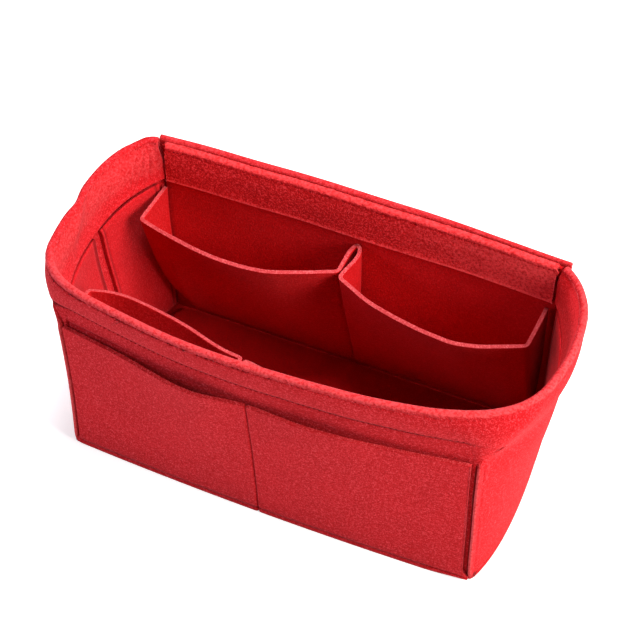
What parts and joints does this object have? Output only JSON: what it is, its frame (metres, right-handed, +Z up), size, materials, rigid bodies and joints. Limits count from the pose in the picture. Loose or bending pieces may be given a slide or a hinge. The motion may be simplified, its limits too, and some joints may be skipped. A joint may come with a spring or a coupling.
{
  "type": "felt handbag organizer insert",
  "caption": "Open felt organizer that stands inside a handbag, with a flared folded rim, pinched front corners, pleated pockets inside and flat pockets outside.",
  "frame": {"origin": "middle of the base panel's underside, on the surface that the insert stands on", "axes": "+X along the length, to the right as seen from the front; +Y from the front to the flat back; +Z up out of the open mouth"},
  "size_m": [0.3536, 0.1797, 0.16],
  "materials": {
    "felt": "matte fuzzy felt"
  },
  "bodies": {
    "root": {"wrap_wall": "felt", "back_wall": "felt", "base_panel": "felt", "base_insert": "felt", "front_outer_pocket": "felt", "back_outer_pocket": "felt", "back_pocket_left_gusset": "felt", "back_pocket_right_gusset": "felt", "back_pocket_centre_pleat": "felt", "front_pocket_left_gusset": "felt", "front_pocket_right_gusset": "felt", "front_pocket_centre_pleat": "felt", "left_rear_side_pocket": "felt", "left_front_side_pocket": "felt", "right_rear_side_pocket": "felt", "right_front_side_pocket": "felt"},
    "back_pocket": {"back_pocket_left_face": "felt", "back_pocket_right_face": "felt"},
    "front_pocket": {"front_pocket_left_face": "felt", "front_pocket_right_face": "felt"}
  },
  "joints": [
    {"name": "back_pocket_open", "type": "hinge", "parent": "root", "child": "back_pocket", "pos_m": [0, 0.0698, 0.009], "axis": [1, 0, 0], "range_deg": [-12, 3], "stiffness_Nm_per_rad": 0.8, "deforming": ["back_pocket_left_gusset", "back_pocket_right_gusset", "back_pocket_centre_pleat"]},
    {"name": "front_pocket_open", "type": "hinge", "parent": "root", "child": "front_pocket", "pos_m": [0, -0.07, 0.009], "axis": [-1, 0, 0], "range_deg": [-10, 3], "stiffness_Nm_per_rad": 0.8, "deforming": ["front_pocket_left_gusset", "front_pocket_right_gusset", "front_pocket_centre_pleat"]}
  ]
}
